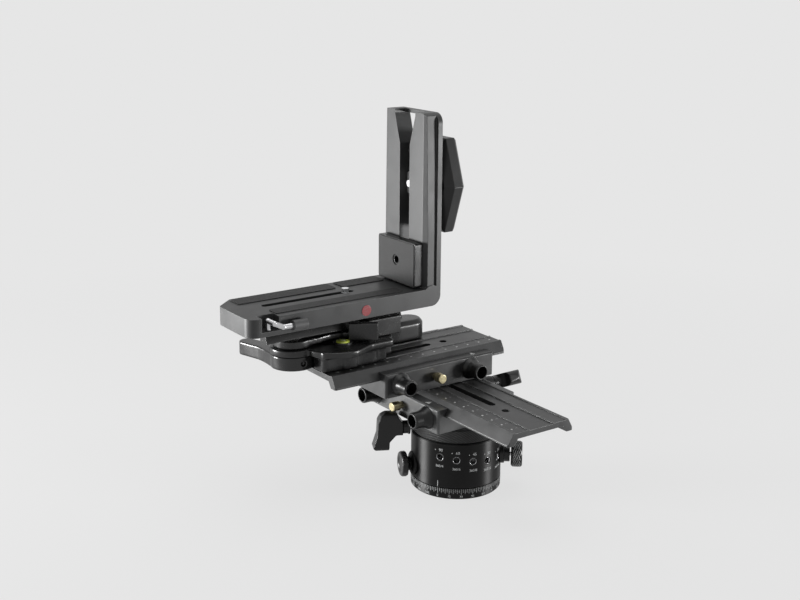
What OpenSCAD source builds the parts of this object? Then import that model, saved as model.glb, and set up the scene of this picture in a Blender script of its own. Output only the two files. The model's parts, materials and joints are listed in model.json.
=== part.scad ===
// Panoramic camera head: a click-stop turning base, two crossed sliding stages,
// a quick-release clamp and an L-shaped camera bracket.
// The origin is the centre of the drum's underside, where the tripod screw enters.
// +X runs along the upper sliding plate and -Y along the lower one.

/* [Drum] */
// Outer radius of the scale ring and the drum
drum_r = 40; // [36:0.5:48]
// Height of the scale ring that is fixed to the tripod
ring_h = 9.5; // [8:0.5:12]
// Height of the turning drum
drum_h = 40; // [36:1:50]
// Thickness of the drum's wall
drum_wall = 6; // [5:0.5:8]
// Thickness of the drum's roof
drum_roof = 8; // [7:0.5:10]
// Height of the spigot that the platform turns on
spigot_h = 8.2; // [7:0.2:10]
// Radius of the central post
post_r = 8; // [7:0.5:9]
// Wall radius of the tripod thread
tripod_r = 4.76; // [4.5:0.01:5]
// Height of the knurled platform collar above the drum
collar_h = 12.5; // [12:0.5:15]

/* [Click stops] */
// Stops per turn, one ring of notches for each socket in the drum
stops = [4, 6, 8, 12, 18, 24, 36, 72];
// World angle of the first socket
socket_start = -148.5; // [-160:0.5:-140]
// Angle between neighbouring sockets
socket_step = 21.5; // [18:0.5:24]
// Height of the first socket above the drum's lower edge
socket_lift = 27.5; // [26:0.5:28]
// Drop from one socket to the next
socket_drop = 1.8; // [1.7:0.1:1.9]
// Radius of a socket
socket_r = 3.5; // [3:0.1:4]
// Socket that holds the plunger, counted from 0
plunger_socket = 5; // [0:1:7]

/* [Knobs and levers] */
// World angle of the pan lock knob
lock_angle = 159.5; // [150:0.5:165]
// Height of the pan lock knob
lock_z = 21.2; // [20:0.1:22]
// Radius of the pan lock knob
lock_knob_r = 10.9; // [9:0.1:12]
// Radius of the plunger's knob
index_knob_r = 11.1; // [9:0.1:12]
// World angle of the platform lever
platform_angle = 153; // [145:1:160]
// Radius of a lever's hub
lever_hub_r = 5.8; // [5:0.1:6]
// Length of a lever's hub, up to its handle
lever_hub_len = 12.7; // [12:0.1:14]
// Length of a lever's handle past its axis
lever_reach = 20; // [18:1:30]
// Width of a lever's handle
lever_w = 13; // [11:0.5:14]

/* [Stages] */
// Length of a carriage
carriage_len = 118.6; // [110:0.1:130]
// Width of a carriage
carriage_w = 85; // [84:0.5:100]
// Height of a carriage's cheeks
carriage_h = 21.5; // [21:0.1:22.5]
// Thickness of a carriage's floor
floor_h = 14.1; // [13.8:0.1:14.2]
// Height of a plate's feet above the underside of its carriage
plate_lift = 14.5; // [14.4:0.1:16]
// Length of a sliding plate
plate_len = 184.4; // [170:0.1:225]
// Width of a plate across its top
plate_top_w = 59; // [56:0.5:62]
// Width of a plate across its feet
plate_foot_w = 70.2; // [68:0.2:71]
// Height of a plate
plate_h = 11; // [10:0.5:12]
// Thickness of a plate's web
plate_web = 5.5; // [5:0.5:6]
// Distance from a plate's end to its round hole
hole_from_end = 45; // [40:1:48]
// Distance from a plate's end to its slot
slot_from_end = 60; // [55:1:65]
// Width of the slot and of the round holes
plate_slot_w = 7; // [6.6:0.1:8]
// Height of the side bores above a carriage's underside
side_w = 10.7; // [10.5:0.1:10.8]
// Distances from a carriage's near end to its bosses and to its lock
boss_u = [15.6, 92.5];
// Distance from a carriage's near end to the lock and the release pin
lock_u = 53.2; // [50:0.2:56]
// Length of a tapered boss
boss_len = 16; // [12:0.5:18]
// Largest radius of a boss
boss_foot_r = 10; // [8:0.1:10.2]
// Radius of a boss at its end
boss_end_r = 7; // [6.2:0.1:7.2]
// Radius of the release pin in its bore
pin_r = 3.2; // [2.5:0.1:3.2]
// Radius of the release pin's brass head
pin_head_r = 4.2; // [3.5:0.1:4.5]

/* [Placement] */
// Near end of the lower carriage along Y
lower_near = -28.9; // [-32:0.1:-24]
// Near end of the lower plate along Y
lower_front = -111.4; // [-120:0.1:-100]
// Left end of the upper carriage along X
upper_near = -69.3; // [-75:0.1:-60]
// Left end of the upper plate along X
upper_left = -115.5; // [-120:0.1:-112]
// Centre line of the upper stage along Y
upper_mid = 52.6; // [50:0.1:56]

/* [Clamp] */
// Pivot of the clamp lever
pivot_x = -127; // [-130:0.5:-125]
pivot_y = 68; // [66:0.5:70]
// Radius of the lever's hub
hub_r = 19.5; // [17:0.5:20]
// Height of the clamp's lower block
block_h = 12.5; // [12:0.5:14]
// Thickness of the clamp's slab
slab_t = 6; // [5:0.5:7]
// Height of the clamp's deck above the slab
deck_h = 9; // [9:0.5:10]
// Radius of the bubble level
bubble_r = 7; // [6:0.5:7.5]

/* [Bracket] */
// Left end of the bracket along X
bracket_left = -183.5; // [-190:0.5:-175]
// Outer face of the upright
bracket_right = 10.2; // [10:0.1:12]
// Thickness of both arms
arm_t = 16; // [14:0.5:18]
// Width of the bracket
bracket_w = 68; // [64:1:72]
// Centre line of the bracket along Y
bracket_mid = 73.5; // [72:0.5:75]
// Height of the upright above the arm's underside
upright_h = 173; // [160:1:210]
// Width of the upright's slot
upright_slot_w = 15; // [13:0.5:16]
// Width of the arm's slot
arm_slot_w = 7; // [6.6:0.1:8]
// Radius of the camera screw
camera_screw_r = 3.175; // [3:0.005:3.2]
// Height of the camera screw
camera_screw_z = 259.8; // [250:0.1:270]
// Height of the camera rest
rest_h = 40.2; // [36:0.1:44]
// Half height of the large knob behind the upright
knob_half_z = 42.5; // [38:0.5:44]
// Half width of the large knob behind the upright
knob_half_y = 42; // [38:0.5:44]

/* [Hidden] */
$fn = 64;

// Clearances
run_gap = 0.05;
body_gap = 0.3;
eps = 0.01;

// Heights of the turning base
drum_z0 = ring_h + 0.5;
drum_z1 = drum_z0 + drum_h;
roof_z = drum_z1 - drum_roof;
cavity_r = drum_r - drum_wall;
core_r = cavity_r - 3;
core_top = roof_z - 0.75 - run_gap;
core_flange_top = ring_h + 2.5;
bush_r = 8;
bush_h = 16;
spigot_r = drum_r - 10;
spigot_z = drum_z1 + spigot_h;
well_r = 14;
retainer_r = spigot_r + 3;
retainer_z = spigot_z + 3.3;
collar_r = drum_r - 1.4;
collar_z0 = drum_z1 + body_gap;
collar_z1 = drum_z1 + collar_h;
collar_lip_z = spigot_z - body_gap;
collar_recess_r = retainer_r + body_gap;
collar_screw_r = (collar_recess_r + collar_r) / 2;
collar_screw_angles = [60, 120, 195, 345];

// Click-stop rings
ring_pitch = socket_drop;
notch_ring_r = core_r - 0.5;
notch_r = 0.8;
first_stop_z = drum_z0 + socket_lift;
stops_z0 = first_stop_z - 7.5 * ring_pitch;
stops_z1 = first_stop_z + 0.5 * ring_pitch;
plunger_angle = socket_start + socket_step * plunger_socket;
plunger_z = first_stop_z - socket_drop * plunger_socket;

// Pan lock and plunger, measured outward from the axis
seat_end = drum_r + 4.6;
lock_knob_in = seat_end + 0.4;
lock_knob_t = 6.5;
lock_screw_r = 3;
index_collar_end = drum_r + 8;
index_knob_in = index_collar_end + 1;
index_knob_out = index_knob_in + 10;
index_pin_r = 2;

// Platform lever
platform_z = drum_z1 + 3.4;
platform_in = collar_r + 3.2;
platform_screw_r = 2.5;

// Stage levels
lower_z = collar_z1;
stage_h = plate_lift + plate_h;
upper_z = lower_z + stage_h;
clamp_z = upper_z + stage_h;
foot_edge = 1.2;
flank = (plate_foot_w - plate_top_w) / 2 / (plate_h - foot_edge);
slide_gap = 0.4;
gib_len = 50;
gib_u = lock_u - gib_len / 2;
gib_out = plate_foot_w / 2 + slide_gap + 3;
gib_z = 7;
lever_screw_r = 3;
boss_v = carriage_w / 2;
lock_boss_len = 16.5;
lever_gap = 0.3;
leg_in_top = 24.5;
leg_in_foot = 28;
lip_w = 2.2;
rib_v = 13.3;
rib_w = 1.4;
strip_drop = 0.6;
stage_screw_u = [51.3, 87.3];
stage_screw_v = 12;

// Clamp levels
slab_z = clamp_z + block_h;
slab_top = slab_z + slab_t;
deck_top = slab_top + deck_h;
arm_z = slab_top + 2;
arm_top = deck_top - 2;
clamp_screw_x = [upper_left + hole_from_end, upper_left + hole_from_end + 24];
clamp_screw_r = 3.1;
pivot_r = 4;
handle_angle = 109;
handle_len = 60;
clamp_swing = 50;
swing_gap = 0.8;
jaw_top = deck_top + 8;
tail_x = 5;
tail_y = 81;
tail_r = 13;
bubble_x = -90;
bubble_y = 46;

// Bracket levels
shoe_z = deck_top + 0.2;
arm_bottom = deck_top + 12;
arm_face = arm_bottom + arm_t;
bracket_top = arm_bottom + upright_h;
upright_face = bracket_right - arm_t - 0.5;
bracket_y0 = bracket_mid - bracket_w / 2;
shoe_half = 20;
shoe_neck = 17.2;
shoe_left = -160;
shoe_right = -22;
arm_slot_x = [-153.5, -61.5];
upright_slot_z = [arm_face + 12, bracket_top - 29];
mouth_w = 31;
rest_z = arm_face + 1.3;
rest_face = upright_face - 8.2;
arm_screw_x = -69.7;
relief_r = 2.6;
relief_w = 0.5;

// Helpers

// Places children on a radial axis: their +Z points outward, their +X points down
module radial(angle, z) {
    translate([0, 0, z])
        rotate([0, 90, angle])
            children();
}

// A straight round bar between two points
module rod(p, q, r) {
    v = q - p;
    len = norm(v);
    translate(p)
        rotate([0, acos(v.z / len), atan2(v.y, v.x)])
            cylinder(r = r, h = len);
}

// A flat rectangle with round corners
module rounded_rect(x0, y0, x1, y1, r) {
    translate([x0 + r, y0])
        square([x1 - x0 - 2 * r, y1 - y0]);
    translate([x0, y0 + r])
        square([x1 - x0, y1 - y0 - 2 * r]);
    for (x = [x0 + r, x1 - r])
        for (y = [y0 + r, y1 - r])
            translate([x, y])
                circle(r = r);
}

// Extrudes a section drawn in (v, w) along u
module along(len) {
    rotate([90, 0, 90])
        linear_extrude(height = len)
            children();
}

// Extrudes a section drawn in (x, z) from y0 to y1
module across(y0, y1) {
    translate([0, y1, 0])
        rotate([90, 0, 0])
            linear_extrude(height = y1 - y0)
                children();
}

// The two stages: u runs along a carriage, v across it and w up
module at_lower() {
    translate([0, lower_near, lower_z])
        mirror([1, -1, 0])
            children();
}

module at_upper() {
    translate([upper_near, upper_mid, upper_z])
        children();
}

// The turning base

module core_screw_forms() {
    for (a = [90, 210, 330])
        rotate([0, 0, a])
            translate([22, 0, 0.6]) {
                cylinder(r = 4, h = 2.6);
                cylinder(r = 2, h = 20);
            }
}

module base_ring() {
    color("#232323")
        difference() {
            rotate_extrude()
                polygon([[bush_r, 0], [13, 0], [13.6, 0.6], [drum_r - 10, 0.6], [drum_r - 9.4, 0],
                         [drum_r - 1, 0], [drum_r, 1], [drum_r, ring_h - 0.4],
                         [drum_r - 0.4, ring_h], [bush_r, ring_h]]);
            core_screw_forms();
        }
}

module tripod_bush() {
    color("silver")
        difference() {
            cylinder(r = bush_r, h = bush_h);
            translate([0, 0, -eps])
                cylinder(r = tripod_r, h = bush_h + 2 * eps);
        }
}

module index_core() {
    color("#8a8c8f")
        difference() {
            rotate_extrude()
                polygon([[bush_r, ring_h], [cavity_r - 0.6, ring_h], [cavity_r - 0.6, core_flange_top],
                         [core_r, core_flange_top], [core_r, stops_z0 - 0.2], [core_r - 5, stops_z0 - 0.2],
                         [core_r - 5, stops_z1 + 0.2], [core_r - 2, stops_z1 + 0.2], [core_r - 2, core_top],
                         [post_r, core_top], [post_r, drum_z1 + 7], [0, drum_z1 + 7],
                         [0, bush_h], [bush_r, bush_h]]);
            core_screw_forms();
        }
}

// One ring of notches for each socket, on a common sleeve
module index_rings() {
    color("#b08d4a")
        difference() {
            union() {
                translate([0, 0, stops_z0 - 0.2])
                    cylinder(r = notch_ring_r - 1.4, h = stops_z1 - stops_z0 + 0.4);
                for (k = [0 : len(stops) - 1])
                    translate([0, 0, first_stop_z - socket_drop * k - 0.8])
                        linear_extrude(height = 1.6)
                            difference() {
                                circle(r = notch_ring_r);
                                for (i = [0 : stops[k] - 1])
                                    rotate(plunger_angle + i * 360 / stops[k])
                                        translate([notch_ring_r + 0.2, 0])
                                            circle(r = notch_r, $fn = 16);
                            }
            }
            translate([0, 0, stops_z0 - 1])
                cylinder(r = core_r - 5, h = stops_z1 - stops_z0 + 2);
        }
}

module core_screws() {
    color("silver")
        core_screw_forms();
}

module post_nut() {
    color("silver")
        difference() {
            union() {
                translate([0, 0, drum_z1 + run_gap])
                    cylinder(r = well_r - 1, h = 0.8);
                translate([0, 0, drum_z1 + 0.8 + run_gap])
                    cylinder(r = well_r - 2, h = 5.6, $fn = 6);
            }
            translate([0, 0, drum_z1 - 1])
                cylinder(r = post_r, h = 10);
        }
}

module retainer_screw_forms() {
    for (a = [45 : 90 : 315])
        rotate([0, 0, a])
            translate([(well_r + spigot_r) / 2, 0, 0]) {
                translate([0, 0, drum_z1 + 1])
                    cylinder(r = 2, h = retainer_z - drum_z1 - 1.4);
                translate([0, 0, retainer_z - 2.2])
                    cylinder(r = 3.8, h = 2.2);
            }
}

module drum_body() {
    color("#262626")
        difference() {
            rotate_extrude()
                polygon([[post_r + 2, roof_z], [cavity_r, roof_z], [cavity_r, drum_z0],
                         [drum_r - 0.5, drum_z0], [drum_r, drum_z0 + 0.5], [drum_r, drum_z1 - 0.8],
                         [drum_r - 0.8, drum_z1], [spigot_r, drum_z1], [spigot_r, spigot_z],
                         [well_r, spigot_z], [well_r, drum_z1], [post_r + 2, drum_z1]]);
            for (k = [0 : len(stops) - 1])
                radial(socket_start + socket_step * k, first_stop_z - socket_drop * k)
                    translate([0, 0, cavity_r - 2])
                        cylinder(r = socket_r, h = drum_wall + 4);
            radial(lock_angle, lock_z)
                translate([0, 0, cavity_r - 2])
                    cylinder(r = lock_screw_r, h = drum_wall + 4);
            retainer_screw_forms();
        }
}

module drum_bearing() {
    color("#b08d4a")
        rotate_extrude()
            polygon([[post_r + run_gap, core_top + run_gap], [well_r, core_top + run_gap],
                     [well_r, roof_z], [post_r + 2, roof_z], [post_r + 2, drum_z1],
                     [post_r + run_gap, drum_z1]]);
}

module retainer_disc() {
    color("#8a8c8f")
        difference() {
            rotate_extrude()
                polygon([[well_r + 1, spigot_z], [retainer_r, spigot_z], [retainer_r, retainer_z - 0.5],
                         [retainer_r - 0.5, retainer_z], [well_r + 1, retainer_z]]);
            retainer_screw_forms();
        }
}

module retainer_screws() {
    color("silver")
        retainer_screw_forms();
}

// The flared seat follows the drum's surface
module lock_seat() {
    color("#1e1e1e")
        difference() {
            radial(lock_angle, lock_z)
                rotate_extrude()
                    polygon([[0, drum_r - 3], [10.6, drum_r - 3], [10.6, drum_r + 0.5], [9.2, drum_r + 1.7],
                             [6.6, drum_r + 2.6], [5.6, seat_end], [0, seat_end]]);
            cylinder(r = drum_r, h = drum_z1);
            radial(lock_angle, lock_z)
                translate([0, 0, drum_r - 4])
                    cylinder(r = lock_screw_r, h = 12);
        }
}

module index_collar() {
    color("#2b2b2b")
        difference() {
            union() {
                radial(plunger_angle, plunger_z)
                    translate([0, 0, cavity_r + 0.5])
                        cylinder(r = socket_r, h = drum_wall + 1);
                difference() {
                    radial(plunger_angle, plunger_z)
                        rotate_extrude()
                            polygon([[0, drum_r - 2], [8.6, drum_r - 2], [8.6, drum_r + 2.6],
                                     [7.9, drum_r + 3.2], [7.2, drum_r + 3.2],
                                     [7.2, index_collar_end - 0.6], [6.6, index_collar_end],
                                     [0, index_collar_end]]);
                    cylinder(r = drum_r, h = drum_z1);
                }
            }
            radial(plunger_angle, plunger_z)
                translate([0, 0, cavity_r - 1])
                    cylinder(r = index_pin_r + run_gap, h = 18);
        }
}

module lock_knob() {
    color("#1e1e1e")
        radial(lock_angle, lock_z)
            difference() {
                rotate_extrude()
                    polygon([[0, lock_knob_in], [4.6, lock_knob_in], [4.6, lock_knob_in + 1],
                             [lock_knob_r - 0.8, lock_knob_in + 1], [lock_knob_r, lock_knob_in + 1.8],
                             [lock_knob_r, lock_knob_in + lock_knob_t - 0.8],
                             [lock_knob_r - 0.8, lock_knob_in + lock_knob_t],
                             [7, lock_knob_in + lock_knob_t], [6.4, lock_knob_in + lock_knob_t - 0.8],
                             [0, lock_knob_in + lock_knob_t - 0.8]]);
                translate([0, 0, lock_knob_in - 1])
                    cylinder(r = lock_screw_r - run_gap, h = 5);
            }
}

module lock_screw() {
    color("silver")
        radial(lock_angle, lock_z)
            translate([0, 0, core_r + body_gap + 4.7])
                cylinder(r = lock_screw_r - run_gap, h = lock_knob_in + 4 - core_r - body_gap - 4.7);
}

module lock_shoe() {
    color("#b08d4a")
        difference() {
            radial(lock_angle, lock_z)
                translate([0, 0, core_r - 1])
                    cylinder(r = lock_screw_r - run_gap, h = 5.6 + body_gap);
            cylinder(r = core_r + body_gap, h = drum_z1);
        }
}

module index_knob() {
    color("#242424")
        radial(plunger_angle, plunger_z)
            difference() {
                rotate_extrude()
                    polygon([[0, index_knob_in], [index_knob_r - 1, index_knob_in],
                             [index_knob_r, index_knob_in + 1], [index_knob_r, index_knob_out - 1],
                             [index_knob_r - 1, index_knob_out], [index_knob_r - 3, index_knob_out],
                             [index_knob_r - 3.6, index_knob_out - 0.8], [0, index_knob_out - 0.8]]);
                translate([0, 0, index_knob_in - 1])
                    cylinder(r = index_pin_r, h = 7);
            }
}

module index_pin() {
    color("silver")
        radial(plunger_angle, plunger_z)
            rotate_extrude()
                polygon([[0, core_r + 0.1], [0.7, core_r + 0.1], [index_pin_r, core_r + 1.6],
                         [index_pin_r, index_knob_in + 6], [0, index_knob_in + 6]]);
}

// The platform

module collar_screw_forms() {
    for (a = collar_screw_angles)
        rotate([0, 0, a])
            translate([collar_screw_r, 0, 0]) {
                translate([0, 0, drum_z1 + 4])
                    cylinder(r = 1.6, h = lower_z + floor_h - 5 - drum_z1 - 4);
                translate([0, 0, lower_z + floor_h - 6])
                    cylinder(r = 3.2, h = 4);
            }
}

module collar_ring() {
    color("#2a2a2a")
        difference() {
            rotate_extrude()
                polygon([[spigot_r + run_gap, collar_z0], [collar_r - 0.8, collar_z0],
                         [collar_r, collar_z0 + 0.8], [collar_r, collar_z1 - 0.8],
                         [collar_r - 0.8, collar_z1], [collar_recess_r, collar_z1],
                         [collar_recess_r, collar_lip_z], [spigot_r + run_gap, collar_lip_z]]);
            radial(platform_angle, platform_z)
                translate([0, 0, spigot_r - 2])
                    cylinder(r = platform_screw_r + run_gap, h = 14);
            collar_screw_forms();
        }
}

module collar_screws() {
    color("silver")
        collar_screw_forms();
}

// A clamping lever: its axis is +Z, its hub starts at z = 0 and its handle lies along +X.
// The handle is an elbow, drawn from the side and then rounded in plan.
module lever(bore_r) {
    back = 15.5;
    out = lever_hub_len + 16;
    tip_r = 4;
    difference() {
        union() {
            cylinder(r = lever_hub_r, h = lever_hub_len + 1);
            cylinder(r = lever_hub_r + 0.8, h = 1.6);
            intersection() {
                rotate([90, 0, 0])
                    linear_extrude(height = 40, center = true)
                        polygon([[lever_hub_r - 0.4, lever_hub_len - 6], [lever_hub_r - 0.2, lever_hub_len],
                                 [lever_hub_r + 6, lever_hub_len + 5.7], [lever_reach, lever_hub_len + 6],
                                 [lever_reach, out + 2], [lever_reach - 3, out + 4.4],
                                 [5, out + 0.6], [-7, out], [4 - back, out - 2.4], [-back, out - 7],
                                 [1 - back, lever_hub_len - 0.7], [6 - back, lever_hub_len - 2.7],
                                 [-lever_hub_r + 0.2, lever_hub_len - 6]]);
                linear_extrude(height = out + 6) {
                    translate([lever_w / 2 - back, 0])
                        circle(r = lever_w / 2);
                    translate([lever_w / 2 - back, -lever_w / 2])
                        square([lever_reach + back - lever_w / 2 - tip_r, lever_w]);
                    translate([lever_reach - 2 * tip_r, -lever_w / 2 + tip_r])
                        square([2 * tip_r, lever_w - 2 * tip_r]);
                    for (s = [-1, 1])
                        translate([lever_reach - tip_r, s * (lever_w / 2 - tip_r)])
                            circle(r = tip_r);
                }
            }
        }
        translate([0, 0, -1])
            cylinder(r = bore_r, h = lever_hub_len + 9);
    }
}

module platform_lever() {
    color("#1a1a1a")
        radial(platform_angle, platform_z)
            translate([0, 0, platform_in])
                lever(platform_screw_r);
}

module platform_screw() {
    color("silver")
        radial(platform_angle, platform_z)
            translate([0, 0, spigot_r + body_gap + 3 + run_gap])
                cylinder(r = platform_screw_r,
                         h = platform_in + lever_hub_len + 8 - spigot_r - body_gap - 3 - run_gap);
}

module platform_shoe() {
    color("#b08d4a")
        difference() {
            radial(platform_angle, platform_z)
                translate([0, 0, spigot_r - 1])
                    cylinder(r = platform_screw_r, h = 4 + body_gap);
            cylinder(r = spigot_r + body_gap, h = spigot_z);
        }
}

// The sliding stages

function cheek(w) = plate_foot_w / 2 + slide_gap - max(0, w - plate_lift - foot_edge) * flank;

// A dovetail channel with a pocket for the gib, a lock bore and a release bore
module carriage() {
    half = carriage_w / 2;
    difference() {
        intersection() {
            along(carriage_len)
                polygon([[-half, 0], [half, 0], [half, carriage_h - 1.2], [half - 1.2, carriage_h],
                         [cheek(carriage_h), carriage_h], [cheek(floor_h), plate_lift + foot_edge],
                         [cheek(floor_h), floor_h], [22, floor_h], [21, floor_h - 1.5],
                         [-21, floor_h - 1.5], [-22, floor_h], [-cheek(floor_h), floor_h],
                         [-cheek(floor_h), plate_lift + foot_edge], [-cheek(carriage_h), carriage_h],
                         [-half + 1.2, carriage_h], [-half, carriage_h - 1.2]]);
            linear_extrude(height = carriage_h)
                rounded_rect(0, -half, carriage_len, half, 2.5);
        }
        translate([gib_u - 0.2, 0, 0])
            along(gib_len + 0.4)
                polygon([[gib_out - 3.2, gib_z - 0.2], [gib_out + 0.2, gib_z - 0.2],
                         [gib_out + 0.2, carriage_h + 1], [gib_out - 8, carriage_h + 1],
                         [gib_out - 8, floor_h], [gib_out - 3.2, floor_h]]);
        translate([lock_u, gib_out - 1, side_w])
            rotate([-90, 0, 0])
                cylinder(r = lever_screw_r + run_gap, h = half);
        translate([lock_u, -half - 1, side_w])
            rotate([-90, 0, 0])
                cylinder(r = pin_r + run_gap, h = 18);
    }
}

// Two hollow tapered bosses that stand on the cheek's outer face
module bosses() {
    for (u = boss_u)
        translate([u, -boss_v, side_w])
            rotate([90, 0, 0])
                difference() {
                    rotate_extrude()
                        polygon([[0, 0], [boss_foot_r, 0], [boss_foot_r - 0.4, 1.2],
                                 [boss_foot_r - 1.9, 4], [boss_foot_r - 2.8, 8],
                                 [boss_end_r + 0.2, boss_len - 1.4], [boss_end_r, boss_len - 0.6],
                                 [boss_end_r - 0.6, boss_len], [0, boss_len]]);
                    translate([0, 0, boss_len - 11])
                        cylinder(r = boss_end_r - 1.4, h = 12);
                    translate([0, 0, boss_len - 14])
                        cylinder(r = 2.5, h = 5, $fn = 6);
                }
}

module lock_boss() {
    translate([lock_u, boss_v, side_w])
        rotate([-90, 0, 0])
            difference() {
                rotate_extrude()
                    polygon([[0, 0], [boss_foot_r, 0], [boss_foot_r - 0.4, 1.2], [boss_foot_r - 1.9, 4],
                             [boss_foot_r - 2.8, 8], [boss_end_r + 0.2, lock_boss_len - 1.2],
                             [boss_end_r - 0.4, lock_boss_len], [0, lock_boss_len]]);
                translate([0, 0, -1])
                    cylinder(r = lever_screw_r + run_gap, h = lock_boss_len + 2);
            }
}

// The gib follows the plate's flank and is pushed by the lever's screw
module gib() {
    translate([gib_u, 0, 0])
        along(gib_len)
            polygon([[gib_out - 2.7, gib_z], [gib_out, gib_z], [gib_out, carriage_h - 0.2],
                     [cheek(carriage_h - 0.2), carriage_h - 0.2], [cheek(floor_h), plate_lift + foot_edge],
                     [cheek(floor_h), floor_h + 0.2], [gib_out - 2.7, floor_h + 0.2]]);
}

module release_pin() {
    translate([lock_u, -boss_v, side_w])
        rotate([90, 0, 0])
            rotate_extrude()
                polygon([[0, -13], [pin_r - 0.5, -13], [pin_r, -12.5], [pin_r, 3.4],
                         [pin_head_r, 3.4], [pin_head_r, 10.4], [pin_head_r - 0.6, 11], [0, 11]]);
}

module stage_lever(turn) {
    translate([lock_u, boss_v + lock_boss_len + lever_gap, side_w])
        rotate([-90, 0, 0])
            rotate([0, 0, turn])
                lever(lever_screw_r);
}

module lever_screw() {
    translate([lock_u, gib_out + run_gap, side_w])
        rotate([-90, 0, 0])
            cylinder(r = lever_screw_r,
                     h = boss_v + lock_boss_len + lever_gap + lever_hub_len + 8 - gib_out - run_gap);
}

// An inverted channel with sloping flanks, raised lips and two ribs beside the slot
module plate() {
    foot = plate_foot_w / 2;
    top = plate_top_w / 2;
    lip = top - lip_w;
    rib_in = rib_v - rib_w / 2;
    rib_out = rib_v + rib_w / 2;
    low = plate_h - strip_drop;
    difference() {
        intersection() {
            along(plate_len)
                polygon([[-foot, 0], [-foot, foot_edge], [-top, plate_h], [-lip, plate_h], [-lip, low],
                         [-rib_out, low], [-rib_out, plate_h], [-rib_in, plate_h], [-rib_in, low - 0.4],
                         [rib_in, low - 0.4], [rib_in, plate_h], [rib_out, plate_h], [rib_out, low],
                         [lip, low], [lip, plate_h], [top, plate_h], [foot, foot_edge], [foot, 0],
                         [leg_in_foot, 0], [leg_in_top, plate_h - plate_web],
                         [-leg_in_top, plate_h - plate_web], [-leg_in_foot, 0]]);
            linear_extrude(height = plate_h)
                rounded_rect(0, -foot, plate_len, foot, 2);
        }
        for (p = [hole_from_end, plate_len - hole_from_end])
            translate([p, 0, 0])
                cylinder(r = plate_slot_w / 2, h = plate_h + 1);
        linear_extrude(height = plate_h + 1)
            rounded_rect(slot_from_end, -plate_slot_w / 2, plate_len - slot_from_end,
                         plate_slot_w / 2, plate_slot_w / 2 - eps);
    }
}

module lower_carriage() {
    color("#3a3b3c")
        difference() {
            at_lower()
                carriage();
            collar_screw_forms();
        }
}

module lower_bosses() {
    color("#2c2c2c")
        at_lower()
            bosses();
}

module lower_lock_boss() {
    color("#2c2c2c")
        at_lower()
            lock_boss();
}

module lower_gib() {
    color("#b08d4a")
        at_lower()
            gib();
}

module lower_pin() {
    color("#b9a36b")
        at_lower()
            release_pin();
}

module lower_lever() {
    color("#1a1a1a")
        at_lower()
            stage_lever(25);
}

module lower_lever_screw() {
    color("silver")
        at_lower()
            lever_screw();
}

module lower_plate() {
    color("#2b2b2c")
        difference() {
            at_lower()
                translate([lower_front - lower_near, 0, plate_lift])
                    plate();
            stage_screw_forms();
        }
}

module stage_screw_forms() {
    for (u = stage_screw_u)
        for (s = [-1, 1])
            at_upper()
                translate([u, s * stage_screw_v, 0]) {
                    translate([0, 0, -4.5])
                        cylinder(r = 2.5, h = 12);
                    translate([0, 0, 6.5])
                        cylinder(r = 4.5, h = 5);
                }
}

module upper_carriage() {
    color("#3a3b3c")
        difference() {
            at_upper()
                carriage();
            stage_screw_forms();
        }
}

module upper_bosses() {
    color("#2c2c2c")
        at_upper()
            bosses();
}

module upper_lock_boss() {
    color("#2c2c2c")
        at_upper()
            lock_boss();
}

module stage_screws() {
    color("silver")
        stage_screw_forms();
}

module upper_gib() {
    color("#b08d4a")
        at_upper()
            gib();
}

module upper_pin() {
    color("#b9a36b")
        at_upper()
            release_pin();
}

module upper_lever() {
    color("#1a1a1a")
        at_upper()
            stage_lever(10);
}

module upper_lever_screw() {
    color("silver")
        at_upper()
            lever_screw();
}

module upper_plate() {
    color("#2b2b2c")
        at_upper()
            translate([upper_left - upper_near, 0, plate_lift])
                plate();
}

// The quick-release clamp

module clamp_screw_forms() {
    for (x = clamp_screw_x)
        translate([x, upper_mid, 0]) {
            translate([0, 0, clamp_z - plate_web - 3.6])
                cylinder(r = 6, h = 3.6);
            translate([0, 0, clamp_z - plate_web])
                cylinder(r = clamp_screw_r, h = 14);
        }
}

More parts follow.
